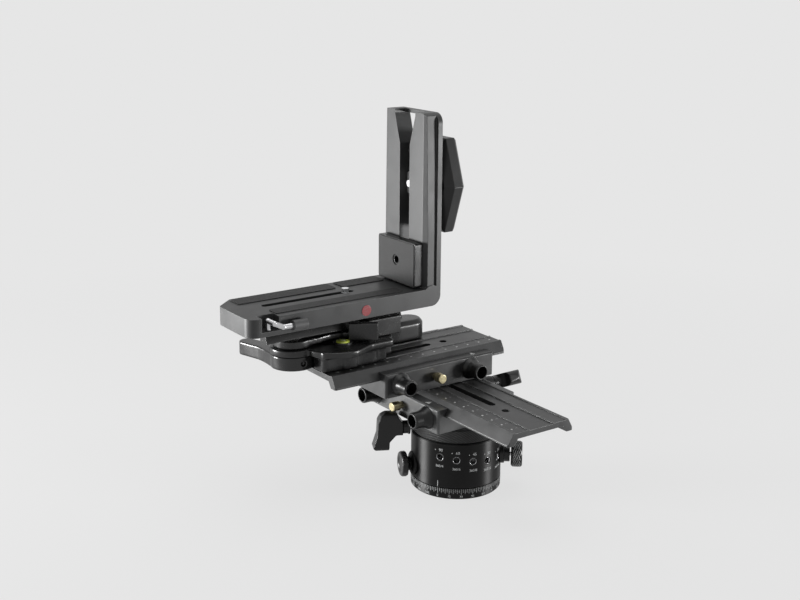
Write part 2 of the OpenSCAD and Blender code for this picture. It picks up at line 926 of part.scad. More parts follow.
module clamp_body() {
    block_far = upper_mid + plate_top_w / 2;
    color("#222222")
        difference() {
            union() {
                translate([0, 0, clamp_z])
                    linear_extrude(height = block_h)
                        difference() {
                            union() {
                                rounded_rect(-117, 33, -60, block_far, 5);
                                rounded_rect(-98, 31.5, -84, block_far, 1);
                                rounded_rect(-75, 35, -51, block_far, 1);
                                rounded_rect(-56, 46, -38, block_far, 1);
                            }
                            translate([pivot_x, pivot_y])
                                circle(r = hub_r + swing_gap);
                            translate([pivot_x, pivot_y])
                                rotate(handle_angle - clamp_swing)
                                    polygon([[0, -hub_r - swing_gap],
                                             [hub_r * 0.6, -hub_r * 0.8 - swing_gap],
                                             [hub_r * 1.2, -hub_r * 0.55 - swing_gap],
                                             [handle_len * 0.55, -8 - swing_gap],
                                             [handle_len, -8 - swing_gap],
                                             [handle_len, 30], [0, 30]]);
                        }
                translate([0, 0, slab_z])
                    linear_extrude(height = slab_t) {
                        rounded_rect(-118, 31, -45, 104, 4);
                        rounded_rect(-60, 62, -18, 100, 3);
                        translate([pivot_x, pivot_y])
                            circle(r = hub_r + 0.6);
                        polygon([[-122, 49], [-118, 35], [-100, 35], [-100, 100], [-118, 100], [-122, 87]]);
                    }
                translate([-24, tail_y, 0])
                    along(24 + tail_x)
                        polygon([[-tail_r, clamp_z], [tail_r, clamp_z], [tail_r, slab_top - 3.5],
                                 [tail_r - 3, slab_top], [3 - tail_r, slab_top],
                                 [-tail_r, slab_top - 3.5]]);
                translate([tail_x, tail_y, clamp_z])
                    rotate_extrude()
                        polygon([[0, 0], [tail_r, 0], [tail_r, slab_top - 3.5 - clamp_z],
                                 [tail_r - 3, slab_top - clamp_z], [0, slab_top - clamp_z]]);
                translate([0, 0, slab_top])
                    linear_extrude(height = deck_h) {
                        rounded_rect(-68, 55.5, -28, 103, 2);
                        rounded_rect(-100, 79, -60, 103, 2);
                    }
            }
            translate([pivot_x, pivot_y, slab_z - 1])
                cylinder(r = pivot_r + run_gap, h = slab_t + 2);
            translate([bubble_x, bubble_y, slab_top - 3])
                cylinder(r = bubble_r, h = 4);
            for (x = [-60, -36])
                translate([x, 55, slab_top + 4.6])
                    rotate([-90, 0, 0])
                        cylinder(r = 2 + run_gap, h = 16);
            clamp_screw_forms();
        }
}

// Section of the fixed jaw, measured from the bracket's centre line
module fixed_jaw() {
    color("#1c1c1c")
        translate([-100, bracket_mid, 0])
            along(72)
                polygon([[shoe_half + 0.4, deck_top], [29.5, deck_top], [29.5, jaw_top - 1],
                         [28.5, jaw_top], [shoe_neck + 0.4, jaw_top], [shoe_neck + 0.4, jaw_top - 0.6],
                         [shoe_half + 0.4, deck_top + 1]]);
}

module moving_jaw() {
    color("#1c1c1c") {
        translate([-64, bracket_mid, 0])
            along(34)
                polygon([[-29.5, slab_top + 0.3], [-18.3, slab_top + 0.3], [-18.3, deck_top - 0.3],
                         [-shoe_half - 0.4, deck_top - 0.3], [-shoe_half - 0.4, deck_top + 1],
                         [-shoe_neck - 0.4, jaw_top - 0.6], [-shoe_neck - 0.4, jaw_top],
                         [-28.5, jaw_top], [-29.5, jaw_top - 1]]);
        for (x = [-60, -36])
            translate([x, 54.5, slab_top + 4.6])
                rotate([-90, 0, 0])
                    cylinder(r = 2, h = 14);
    }
}

module clamp_screws() {
    color("silver")
        clamp_screw_forms();
}

module bubble_ring() {
    color("#101010")
        translate([bubble_x, bubble_y, slab_top - 3])
            difference() {
                cylinder(r = bubble_r, h = 4.2);
                translate([0, 0, 0.8])
                    cylinder(r = bubble_r - 1.4, h = 5);
            }
}

module bubble_vial() {
    color("yellowgreen")
        translate([bubble_x, bubble_y, slab_top - 2.2])
            intersection() {
                cylinder(r = bubble_r - 1.4, h = 3.4);
                translate([0, 0, -20.6])
                    sphere(r = 24);
            }
}

// The lever under the slab: a round hub with a tapered handle
module clamp_lever() {
    color("#303030")
        translate([pivot_x, pivot_y, clamp_z + 0.3])
            difference() {
                linear_extrude(height = block_h - 0.6) {
                    circle(r = hub_r);
                    rotate(handle_angle) {
                        polygon([[0, -hub_r], [hub_r * 0.6, -hub_r * 0.8], [hub_r * 1.2, -hub_r * 0.55],
                                 [handle_len * 0.55, -8], [handle_len - 7, -7], [handle_len - 7, 7],
                                 [handle_len * 0.55, 8], [hub_r * 1.2, hub_r * 0.55],
                                 [hub_r * 0.6, hub_r * 0.8], [0, hub_r]]);
                        translate([handle_len - 7, 0])
                            circle(r = 7);
                    }
                }
                translate([0, 0, -1])
                    cylinder(r = pivot_r, h = block_h + 2);
                translate([0, -hub_r + 3, (block_h - 0.6) / 2])
                    rotate([90, 0, 0])
                        cylinder(r = 2.2, h = 6);
            }
}

// The arm above the slab, with its raised tab beside the moving jaw
module clamp_arm() {
    tab_len = 26;
    color("#1f1f1f")
        difference() {
            union() {
                translate([0, 0, slab_top + 0.3])
                    linear_extrude(height = arm_top - slab_top - 0.3)
                        translate([pivot_x, pivot_y])
                            circle(r = 17);
                translate([0, 0, arm_z])
                    linear_extrude(height = arm_top - arm_z)
                        polygon([[-121, 84], [-108, 77], [-94, 69], [-78, 62], [-70, 52],
                                 [-76, 48], [-84, 54], [-97, 55], [-108, 53], [-122, 51.8]]);
                translate([-84.5, 45.5, arm_z])
                    rotate([0, 0, -34.5])
                        linear_extrude(height = jaw_top - arm_z)
                            rounded_rect(0, 0, tab_len, 7.5, 1);
            }
            translate([pivot_x, pivot_y, slab_top - 1])
                cylinder(r = pivot_r, h = 12);
            translate([pivot_x, pivot_y, arm_top - 2.6])
                cylinder(r = 8, h = 4);
        }
}

module clamp_pivot() {
    color("silver")
        translate([pivot_x, pivot_y, 0]) {
            translate([0, 0, clamp_z + 0.5])
                cylinder(r = pivot_r, h = arm_top - clamp_z - 1);
            translate([0, 0, arm_top - 2.6])
                cylinder(r = 8, h = 2.4);
        }
}

// The bracket

module catch_notch() {
    translate([-172, bracket_y0 - 1, arm_bottom + 4])
        cube([16, 11, arm_t]);
}

// The upright's section: a chamfered front, a groove along each side and a wider back
module upright_section() {
    w = bracket_w / 2;
    front = upright_face;
    polygon([[front, -w + 6], [front + 2.5, -w + 1], [front + 9.5, -w + 1], [front + 9.5, -w + 2],
             [front + 11.7, -w + 2], [front + 11.7, -w], [bracket_right, -w], [bracket_right, w],
             [front + 11.7, w], [front + 11.7, w - 2], [front + 9.5, w - 2], [front + 9.5, w - 1],
             [front + 2.5, w - 1], [front, w - 6]]);
}

module bracket_plate() {
    corner_r = 9.5;
    w = bracket_w / 2;
    mouth_z = upright_slot_z[1];
    back_x = upright_face + 11.7;
    color("#343536")
        difference() {
            intersection() {
                union() {
                    across(bracket_y0, bracket_y0 + bracket_w)
                        union() {
                            translate([bracket_left, arm_bottom])
                                square([bracket_right - corner_r - bracket_left, arm_t]);
                            translate([bracket_right - corner_r, arm_bottom + corner_r])
                                square([corner_r, arm_t - corner_r]);
                            translate([bracket_right - corner_r, arm_bottom + corner_r])
                                circle(r = corner_r);
                        }
                    intersection() {
                        translate([0, bracket_mid, arm_face])
                            linear_extrude(height = upright_h - arm_t)
                                upright_section();
                        union() {
                            translate([upright_face - 1, bracket_mid, 0])
                                along(12.7)
                                    polygon([[-w, arm_face], [w, arm_face], [w - 6, bracket_top],
                                             [-w + 3, bracket_top]]);
                            translate([back_x, bracket_y0, arm_face])
                                cube([bracket_right - back_x, bracket_w, upright_h]);
                        }
                    }
                }
                translate([0, bracket_mid, 0])
                    linear_extrude(height = bracket_top + 1)
                        intersection() {
                            rounded_rect(bracket_left, -w, bracket_right + 12, w, 9);
                            polygon([[bracket_left - 1, -w - 1], [bracket_right + 1, -w - 1],
                                     [bracket_right + 1, w + 1], [bracket_left + 17, w],
                                     [bracket_left + 1, w - 14], [bracket_left - 1, w - 20]]);
                        }
                translate([bracket_left - 1, bracket_mid, 0])
                    along(bracket_right - bracket_left + 2)
                        rounded_rect(-w, arm_bottom - 20, w, bracket_top, 9);
            }
            translate([0, bracket_mid, arm_bottom - 1])
                linear_extrude(height = arm_t + 2)
                    rounded_rect(arm_slot_x[0], -arm_slot_w / 2, arm_slot_x[1], arm_slot_w / 2,
                                 arm_slot_w / 2 - eps);
            translate([upright_face - 1, bracket_mid, 0])
                along(arm_t + 3)
                    union() {
                        rounded_rect(-upright_slot_w / 2, upright_slot_z[0], upright_slot_w / 2,
                                     mouth_z + 8, 4);
                        polygon([[-upright_slot_w / 2, mouth_z - 1], [upright_slot_w / 2, mouth_z - 1],
                                 [mouth_w / 2, bracket_top - 3.5], [-mouth_w / 2, bracket_top - 3.5]]);
                    }
            translate([upright_face - 1, bracket_mid - mouth_w / 2, bracket_top - 3.6])
                cube([back_x + 1 - upright_face, mouth_w, 5]);
            catch_notch();
            translate([arm_screw_x, bracket_y0 + 0.8, arm_bottom + 7])
                rotate([90, 0, 0])
                    cylinder(r = 4.8, h = 2);
        }
}

// The dovetail under the bracket, with a channel for the arm screw's head
module bracket_shoe() {
    color("#2a2a2a")
        difference() {
            translate([shoe_left, bracket_mid, 0])
                along(shoe_right - shoe_left)
                    polygon([[-shoe_half, shoe_z], [-8.5, shoe_z], [-8.5, shoe_z + 7], [8.5, shoe_z + 7],
                             [8.5, shoe_z], [shoe_half, shoe_z], [shoe_half, shoe_z + 0.8],
                             [shoe_neck, shoe_z + 7.2], [shoe_neck, arm_bottom], [-shoe_neck, arm_bottom],
                             [-shoe_neck, shoe_z + 7.2], [-shoe_half, shoe_z + 0.8]]);
            translate([0, bracket_mid, shoe_z + 6])
                linear_extrude(height = 10)
                    rounded_rect(arm_slot_x[0], -arm_slot_w / 2, arm_slot_x[1], arm_slot_w / 2,
                                 arm_slot_w / 2 - eps);
        }
}

module rubber_strips() {
    color("#151515")
        translate([0, 0, arm_face])
            linear_extrude(height = 0.7) {
                rounded_rect(-155, bracket_y0 + 6.5, -26, bracket_y0 + 20, 2);
                rounded_rect(-168, bracket_y0 + 48, -70, bracket_y0 + bracket_w - 2, 2);
                rounded_rect(-63, bracket_y0 + 48, -18, bracket_y0 + bracket_w - 2, 2);
            }
}

module badge_disc() {
    color("firebrick")
        translate([arm_screw_x, bracket_y0 + 0.8, arm_bottom + 7])
            rotate([90, 0, 0])
                cylinder(r = 4.8, h = 1.1);
}

// A screw from its tip, with a run-out groove behind its free thread
module stud(length, free) {
    rotate_extrude()
        polygon([[0, 0], [camera_screw_r, 0], [camera_screw_r, free], [relief_r, free],
                 [relief_r, free + relief_w], [camera_screw_r, free + relief_w],
                 [camera_screw_r, length], [0, length]]);
}

module arm_screw() {
    color("silver")
        translate([arm_screw_x, bracket_mid, 0])
            difference() {
                union() {
                    translate([0, 0, shoe_z + 1.2])
                        cylinder(r = 7.5, h = 5.6);
                    translate([0, 0, arm_face + 3.6])
                        rotate([180, 0, 0])
                            stud(arm_face + 3.6 - shoe_z - 6, 3.2);
                }
                translate([-8, -0.8, shoe_z])
                    cube([16, 1.6, 3]);
            }
}

// A bent wire that folds along the bracket's near side, and the sleeve near its tip
catch_path = [[-164, 43.6, 157.5], [-164, 43.6, 165], [-161.8, 36.8, 163.9],
              [-154.5, 34.7, 160.6], [-133.6, 34.7, 160.3]];
catch_rod_r = 2.3;

module catch_rod() {
    bends = len(catch_path) - 2;
    color("silver") {
        for (i = [0:bends])
            rod(catch_path[i], catch_path[i + 1], catch_rod_r);
        for (i = [1:bends])
            translate(catch_path[i])
                sphere(r = catch_rod_r + 0.15);
    }
}

module catch_sleeve() {
    tip = catch_path[len(catch_path) - 1];
    run = tip - catch_path[len(catch_path) - 2];
    along_rod = run / norm(run);
    color("#8a8a8a")
        difference() {
            rod(tip - 12.4 * along_rod, tip + 0.6 * along_rod, 4.5);
            rod(tip - 14 * along_rod, tip, catch_rod_r);
        }
}

module camera_rest() {
    color("#262627")
        difference() {
            union() {
                translate([rest_face, 0, 0])
                    along(7.9)
                        rounded_rect(45, rest_z, 102, rest_z + rest_h, 2);
                translate([upright_face - 0.5, bracket_mid, 0])
                    along(12)
                        rounded_rect(-upright_slot_w / 2 + 0.3, upright_slot_z[0] + 0.5,
                                     upright_slot_w / 2 - 0.3, rest_z + rest_h - 4, 3);
            }
            translate([rest_face - 1, bracket_mid, rest_z + 21])
                rotate([0, 90, 0])
                    cylinder(r = 3.3, h = 12);
        }
}

module rest_facing() {
    color("#181818")
        difference() {
            translate([rest_face - 0.8, 0, 0])
                along(0.8)
                    rounded_rect(46, rest_z + 1, 101, rest_z + rest_h - 1, 2);
            translate([rest_face - 2, bracket_mid, rest_z + 21])
                rotate([0, 90, 0])
                    cylinder(r = 5, h = 4);
        }
}

// A block that runs in the upright's slot and carries the camera screw
module screw_guide() {
    color("#8a8c8f")
        difference() {
            union() {
                translate([upright_face + 8, bracket_mid, 0])
                    along(bracket_right - upright_face - 8 + 0.3)
                        rounded_rect(-upright_slot_w / 2 + 0.3, camera_screw_z - 10,
                                     upright_slot_w / 2 - 0.3, camera_screw_z + 10, 3);
                translate([bracket_right + 0.3, bracket_mid, camera_screw_z])
                    rotate([0, 90, 0])
                        cylinder(r = 14, h = 1.6);
            }
            translate([upright_face - 4, bracket_mid, camera_screw_z])
                rotate([0, 90, 0])
                    cylinder(r = camera_screw_r + run_gap, h = 30);
        }
}

module camera_screw() {
    color("silver")
        translate([upright_face + 4.5, bracket_mid, camera_screw_z])
            rotate([0, 90, 0])
                stud(bracket_right + 12 - upright_face - 4.5, 3);
}

// A six-sided knob with a bevelled inner rim
module knob_slice(x, t, k) {
    flat = 0.667;
    translate([x, 0, 0])
        rotate([90, 0, 90])
            linear_extrude(height = t)
                polygon([for (s = [[-1, 0], [-flat, 1], [flat, 1], [1, 0], [flat, -1], [-flat, -1]])
                         [k * s.x * knob_half_y, k * s.y * knob_half_z]]);
}

module camera_knob() {
    inner = bracket_right + 2.2;
    color("#232323")
        difference() {
            translate([inner, bracket_mid, camera_screw_z])
                hull() {
                    knob_slice(0, 1, 0.82);
                    knob_slice(6, 9, 1);
                    knob_slice(17, 1, 0.94);
                }
            translate([inner - 1, bracket_mid, camera_screw_z])
                rotate([0, 90, 0])
                    cylinder(r = camera_screw_r, h = bracket_right + 12 - inner + 1);
        }
}

base_ring();
tripod_bush();
index_core();
index_rings();
core_screws();
post_nut();
drum_body();
drum_bearing();
retainer_disc();
retainer_screws();
lock_seat();
index_collar();
lock_knob();
lock_screw();
lock_shoe();
index_knob();
index_pin();
collar_ring();
lower_carriage();
lower_bosses();
lower_lock_boss();
collar_screws();
platform_lever();
platform_screw();
platform_shoe();
lower_gib();
lower_pin();
lower_lever();
lower_lever_screw();
lower_plate();
upper_carriage();
upper_bosses();
upper_lock_boss();
stage_screws();
upper_gib();
upper_pin();
upper_lever();
upper_lever_screw();
upper_plate();
clamp_body();
fixed_jaw();
clamp_screws();
bubble_ring();
bubble_vial();
moving_jaw();
clamp_lever();
clamp_arm();
clamp_pivot();
bracket_plate();
bracket_shoe();
rubber_strips();
badge_disc();
arm_screw();
catch_rod();
catch_sleeve();
camera_rest();
rest_facing();
screw_guide();
camera_screw();
camera_knob();
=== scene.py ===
# %% [markdown]
# # A panoramic camera head, finished for a photograph
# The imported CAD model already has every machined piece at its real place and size.
# This lesson gives each piece its finish, then adds what a maker adds last: knurling,
# engraved scales, printed numbers and the liquid in the bubble level.

# %% Load the frame
import json
import math
import bpy
import bmesh
from mathutils import Matrix, Vector


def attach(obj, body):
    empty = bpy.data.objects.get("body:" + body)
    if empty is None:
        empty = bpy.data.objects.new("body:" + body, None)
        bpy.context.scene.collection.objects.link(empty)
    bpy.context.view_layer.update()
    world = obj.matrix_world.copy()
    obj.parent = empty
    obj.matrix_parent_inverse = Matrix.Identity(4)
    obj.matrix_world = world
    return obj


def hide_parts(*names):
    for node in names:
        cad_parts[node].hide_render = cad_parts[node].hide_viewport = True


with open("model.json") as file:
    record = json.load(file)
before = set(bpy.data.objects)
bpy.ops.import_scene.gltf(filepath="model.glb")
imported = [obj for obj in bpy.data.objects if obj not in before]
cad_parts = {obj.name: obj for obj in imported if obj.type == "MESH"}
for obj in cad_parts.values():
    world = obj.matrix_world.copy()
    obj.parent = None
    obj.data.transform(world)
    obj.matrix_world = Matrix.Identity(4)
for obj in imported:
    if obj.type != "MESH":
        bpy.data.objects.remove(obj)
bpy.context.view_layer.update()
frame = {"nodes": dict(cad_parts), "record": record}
parts = frame["nodes"]
MM = 0.001
print(len(parts), "pieces from the CAD model")

# %% [markdown]
# ## Shader maths as plain expressions
# A finish is a graph of nodes, and a graph is hard to read as code. One small class stands
# for a socket and turns + - * into Math nodes, so that a pattern reads as a formula.

# %% A socket that can stand in a formula
class Signal:
    """One output socket of a finish's graph."""

    def __init__(self, finish, socket):
        self.finish = finish
        self.socket = socket

    def maths(self, operation, *others):
        values = dict(enumerate((self, *others)))
        return self.finish.node("ShaderNodeMath", {"operation": operation}, values)

    def __add__(self, other):
        return self.maths("ADD", other)

    def __mul__(self, other):
        return self.maths("MULTIPLY", other)

    def __sub__(self, other):
        return self.maths("SUBTRACT", other)

    def __rsub__(self, other):
        return (self * -1) + other

    __radd__ = __add__
    __rmul__ = __mul__


# %% A finish: one material and the few kinds of step it is built from
class Finish:
    """A material whose graph is made step by step."""

    def __init__(self, name):
        self.material = bpy.data.materials.new(name)
        self.material.use_nodes = True
        self.tree = self.material.node_tree
        self.tree.nodes.clear()
        self.place = self.node("ShaderNodeTexCoord", output="Object")

    def node(self, kind, settings=None, values=None, output=0):
        made = self.tree.nodes.new(kind)
        for key, setting in (settings or {}).items():
            setattr(made, key, setting)
        for key, value in (values or {}).items():
            if isinstance(value, Signal):
                self.tree.links.new(value.socket, made.inputs[key])
            else:
                made.inputs[key].default_value = value
        return Signal(self, made.outputs[output])

    def noise(self, size, detail=2.0, stretch=(1, 1, 1)):
        """Soft noise whose features are about size metres across."""
        where = self.place
        if stretch != (1, 1, 1):
            where = self.node("ShaderNodeMapping", {}, {"Vector": where, "Scale": stretch})
        return self.node("ShaderNodeTexNoise", {},
                         {"Vector": where, "Scale": 1 / size, "Detail": detail})

    def ramp(self, signal, low, high, to_low=0.0, to_high=1.0):
        """Stretches signal from low..high to to_low..to_high, and stops at the ends."""
        return self.node("ShaderNodeMapRange", {"clamp": True},
                         {0: signal, 1: low, 2: high, 3: to_low, 4: to_high})

    def mix(self, share, first, second):
        return self.node("ShaderNodeMix", {"data_type": "RGBA"},
                         {0: share, 6: first, 7: second}, output=2)

    def bump(self, height, depth, normal=None):
        values = {"Height": height, "Distance": depth, "Strength": 1.0}
        if normal:
            values["Normal"] = normal
        return self.node("ShaderNodeBump", {}, values)

    def axis(self, name):
        return self.node("ShaderNodeSeparateXYZ", {}, {0: self.place}, output=name)

    def close(self, shader):
        """Sends a shader to the material's output."""
        end = self.tree.nodes.new("ShaderNodeOutputMaterial")
        self.tree.links.new(shader.socket, end.inputs["Surface"])
        return self.material

    def surface(self, values):
        return self.close(self.node("ShaderNodeBsdfPrincipled", {}, values))


def grey(level):
    """A neutral colour, a hair cooler than pure grey, as black anodising is."""
    return (level * 0.985, level, level * 1.005, 1.0)


print("The shader formula helpers are ready")

# %% [markdown]
# ## Rounded edges, worn and with a painted highlight
# Machined aluminium never has a perfectly sharp edge: it is broken with a file or tumbled
# before it is anodised, and that narrow band is what catches the light. The Bevel node
# bends the normal near an edge. Where the bent normal leaves the true one, the coat is
# also painted paler: partly as wear, and partly as a painted highlight along the edge.

# %% Edge helpers
def soft_edge(finish, width):
    """The normal, rounded over width metres at every edge."""
    return finish.node("ShaderNodeBevel", {"samples": 6}, {"Radius": width})


def rubbed_edge(finish, width):
    """1 along an edge and 0 on the flat, broken up by wear; it masks a paler colour that is partly
    wear and partly painted highlight.
    """
    bent = soft_edge(finish, width)
    true = finish.node("ShaderNodeNewGeometry", output="True Normal")
    same = finish.node("ShaderNodeVectorMath", {"operation": "DOT_PRODUCT"},
                       {0: bent, 1: true}, output="Value")
    wear_and_highlight = finish.noise(0.004, 3)
    return finish.ramp(1 - same, 0.02, 0.20) * finish.ramp(wear_and_highlight, 0.35, 0.7, 0.4, 1.0)


print("Edges can be rounded and rubbed")

# %% [markdown]
# ## Anodised aluminium
# The plates, carriages, drum and bracket are bead-blasted and anodised. Two things show up
# close: the fine grain that the beads leave, and broad, faint clouds of gloss where the
# piece has been handled. The lathe leaves rings as well on the turned pieces.

# %% Anodised finishes
BEAD_SIZE = 0.00025
LATHE_RINGS = (0.02, 0.02, 1.0)


def anodised(name, level, gloss, gleam, turned=False, wear_and_highlight=6.0):
    """A coat of grey level and roughness gloss; its edges are wear_and_highlight times as pale,
    partly as wear and partly as a painted highlight.
    """
    finish = Finish(name)
    clouds = finish.noise(0.018, 3)
    beads = finish.noise(BEAD_SIZE, 2)
    # The edge mask paints a paler colour: partly wear, partly a painted highlight.
    edge = rubbed_edge(finish, 0.0011)
    height = beads
    if turned:
        height = height + finish.noise(0.0004, 1, LATHE_RINGS) * 0.8
    shade = finish.ramp(clouds, 0.3, 0.7, level * 0.85, level * 1.15)
    shade = shade + (beads - 0.5) * (level * 0.3)
    tint = finish.node("ShaderNodeCombineColor", {},
                       {0: shade * 0.985, 1: shade, 2: shade * 1.005})
    return finish.surface({
        "Base Color": finish.mix(edge * 0.7, tint, grey(level * wear_and_highlight)),
        "Roughness": finish.ramp(clouds, 0.3, 0.7, gloss - 0.04, gloss + 0.05),
        "Specular IOR Level": gleam,
        "Anisotropic": 0.95 if turned else 0.0,
        "Anisotropic Rotation": 0.25 if turned else 0.0,
        "Normal": finish.bump(height, 0.000012, soft_edge(finish, 0.0007)),
    })


# The large edge factors on the drum, stage and black parts paint their bright edge lines, partly as
# wear and partly as a painted highlight.
stage_coat = anodised("stage_coat", 0.022, 0.36, 0.40, wear_and_highlight=11.0)
# The lower carriage has the same coat as the stage; this lighter copy is painted light, not a paler
# coat.
carriage_coat_painted_light = anodised("carriage_coat_painted_light", 0.048, 0.36, 0.50, wear_and_highlight=3.0)
bracket_coat = anodised("bracket_coat", 0.034, 0.42, 0.30)
drum_coat = anodised("drum_coat", 0.002, 0.46, 0.23, turned=True, wear_and_highlight=30.0)
black_coat = anodised("black_coat", 0.007, 0.32, 0.30, wear_and_highlight=20.0)
plain_alloy = anodised("plain_alloy", 0.30, 0.36, 0.50, turned=True, wear_and_highlight=1.4)
print("Six anodised finishes")

# %% [markdown]
# ## Cast, moulded and rubber surfaces
# The clamp is die-cast and powder-coated, so its skin has the shallow dimples of orange
# peel. Levers and knobs are moulded from a tool that was spark-eroded, which prints a finer
# and sharper grain. The rubber is dull, and its facing has a woven pattern.

# %% Cast and moulded finishes
def moulded(name, level, gloss, grain, depth, gleam=0.3):
    """A skin of dimples that are grain metres across and depth metres deep."""
    finish = Finish(name)
    skin = finish.noise(grain, 3)
    clouds = finish.noise(0.02, 2)
    # Edges are painted paler: partly as wear, partly as a painted highlight.
    edge = rubbed_edge(finish, 0.0008)
    shade = finish.ramp(skin, 0.25, 0.75, level * 0.85, level * 1.15)
    tint = finish.node("ShaderNodeCombineColor", {}, {0: shade, 1: shade, 2: shade * 1.01})
    return finish.surface({
        "Base Color": finish.mix(edge * 0.4, tint, grey(level * 4)),
        "Roughness": finish.ramp(clouds, 0.3, 0.7, gloss - 0.05, gloss + 0.06),
        "Specular IOR Level": gleam,
        "Normal": finish.bump(skin, depth, soft_edge(finish, 0.0009)),
    })


cast_coat = moulded("cast_coat", 0.010, 0.26, 0.0007, 0.00003, 0.42)
lever_plastic = moulded("lever_plastic", 0.008, 0.34, 0.0004, 0.00002)
knob_plastic = moulded("knob_plastic", 0.014, 0.40, 0.0005, 0.00003)
sleeve_plastic = moulded("sleeve_plastic", 0.07, 0.40, 0.0005, 0.00002)
print("Cast and moulded finishes")


# %% Rubber with a fine woven print
def rubber(name, level, pitch):
    finish = Finish(name)
    turn = 2 * math.pi / pitch
    rows = (finish.axis("X") * turn).maths("SINE")
    columns = (finish.axis("Y") * turn).maths("SINE")
    lines = (finish.axis("Z") * turn).maths("SINE")
    weave = rows * columns + columns * lines + lines * rows
    grit = finish.noise(0.0003, 2)
    shade = finish.ramp(weave, -0.8, 0.8, level * 0.7, level * 1.25)
    tint = finish.node("ShaderNodeCombineColor", {}, {0: shade, 1: shade, 2: shade})
    return finish.surface({
        "Base Color": tint,
        "Roughness": finish.ramp(grit, 0.3, 0.7, 0.5, 0.68),
        "Specular IOR Level": 0.25,
        "Normal": finish.bump(weave * 0.7 + grit, 0.00012),
    })


strip_rubber = rubber("strip_rubber", 0.016, 0.0016)
facing_rubber = rubber("facing_rubber", 0.020, 0.0014)
print("Two rubber finishes")

# %% [markdown]
# ## Bare metal, paint and glass
# Screws are bright steel with fine turning marks, the release pins are brass that has gone
# olive with oil, and the badge is a drop of clear-coated red enamel.

# %% Bare metals
def bare_metal(name, colour, gloss, tarnish):
    finish = Finish(name)
    marks = finish.noise(0.0005, 3, (1, 1, 6))
    film = finish.noise(0.003, 3)
    dull = tuple(c * tarnish for c in colour) + (1.0,)
    return finish.surface({
        "Base Color": finish.mix(finish.ramp(film, 0.35, 0.7), colour + (1.0,), dull),
        "Metallic": 1.0,
        "Roughness": finish.ramp(marks, 0.3, 0.7, gloss - 0.04, gloss + 0.06),
        "Normal": finish.bump(marks, 0.000006, soft_edge(finish, 0.0003)),
    })


steel = bare_metal("steel", (0.56, 0.56, 0.57), 0.24, 0.8)
chrome = bare_metal("chrome", (0.82, 0.83, 0.84), 0.10, 0.92)
brass = bare_metal("brass", (0.60, 0.53, 0.33), 0.30, 0.62)
black_steel = bare_metal("black_steel", (0.09, 0.09, 0.095), 0.28, 0.7)
print("Four bare metals")

# %% Enamel
def enamel(name, colour):
    finish = Finish(name)
    mottle = finish.noise(0.0012, 2)
    deep = tuple(c * 0.75 for c in colour) + (1.0,)
    return finish.surface({
        "Base Color": finish.mix(finish.ramp(mottle, 0.3, 0.7), colour + (1.0,), deep),
        "Roughness": finish.ramp(mottle, 0.3, 0.7, 0.22, 0.3),
        "Coat Weight": 1.0,
        "Coat Roughness": 0.05,
        "Normal": soft_edge(finish, 0.0006),
    })


red_enamel = enamel("red_enamel", (0.24, 0.006, 0.012))
white_ink = enamel("white_ink", (0.80, 0.81, 0.80))
laser_mark = enamel("laser_mark", (0.42, 0.43, 0.43))
print("Enamel and ink")

# %% [markdown]
# ## Which piece gets which finish
# The CAD nodes keep their shape and only change their finish, so one table is enough.

# %% Finish table
FINISHES = [
    (drum_coat, ["base_ring", "drum_body", "lock_seat"]),
    (black_coat, ["index_collar", "lower_bosses", "lower_lock_boss", "upper_bosses",
                  "upper_lock_boss", "collar_ring", "index_knob"]),
    (carriage_coat_painted_light, ["lower_carriage"]),
    (stage_coat, ["lower_gib", "lower_plate", "upper_carriage", "upper_gib", "upper_plate"]),
    (bracket_coat, ["bracket_plate"]),
    (plain_alloy, ["index_core", "index_rings", "retainer_disc", "screw_guide"]),
    (cast_coat, ["clamp_body", "fixed_jaw", "bubble_ring", "moving_jaw", "clamp_lever",
                 "clamp_arm", "bracket_shoe", "camera_rest"]),
    (lever_plastic, ["lock_knob", "platform_lever", "lower_lever", "upper_lever"]),
    (knob_plastic, ["camera_knob"]),
    (sleeve_plastic, ["catch_sleeve"]),
    (strip_rubber, ["rubber_strips"]),
    (facing_rubber, ["rest_facing"]),
    (steel, ["tripod_bush", "post_nut", "index_pin", "lock_screw", "platform_screw",
             "lower_lever_screw", "upper_lever_screw", "camera_screw", "clamp_pivot", "catch_rod"]),
    (black_steel, ["core_screws", "retainer_screws", "collar_screws", "stage_screws",
                   "clamp_screws"]),
    (chrome, ["arm_screw"]),
    (brass, ["drum_bearing", "lock_shoe", "platform_shoe", "lower_pin", "upper_pin"]),
    (red_enamel, ["badge_disc"]),
    (white_ink, ["bubble_vial"]),
]
for material, names in FINISHES:
    for name in names:
        mesh = parts[name].data
        mesh.materials.clear()
        mesh.materials.append(material)
        for face in mesh.polygons:
            face.material_index = 0
bare = sorted(set(parts) - {name for _, names in FINISHES for name in names})
print("Pieces still without a finish:", bare)

# %% [markdown]
# ## New pieces
# Every added piece is drawn in a bmesh, in metres and already in its place. The bmesh
# becomes an object at the origin that rides on one CAD body and moves with it.

# %% From a bmesh to a piece
def linked(name, data):
    """A new object at the origin, in the scene, that shows data."""
    made = bpy.data.objects.new(name, data)
    bpy.context.scene.collection.objects.link(made)
    return made


def piece(name, shape, material, body):
    bmesh.ops.recalc_face_normals(shape, faces=shape.faces)
    mesh = bpy.data.meshes.new(name)
    shape.to_mesh(mesh)
    shape.free()
    mesh.materials.append(material)
    made = linked(name, mesh)
    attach(made, body)
    print(name, "has", len(mesh.polygons), "faces and rides on", body)
    return made


body_of = {node: body for body, nodes in frame["record"]["behaviour"]["bodies"].items()
           for node in nodes}
print("New pieces can take the bodies and slots of", len(body_of), "nodes")


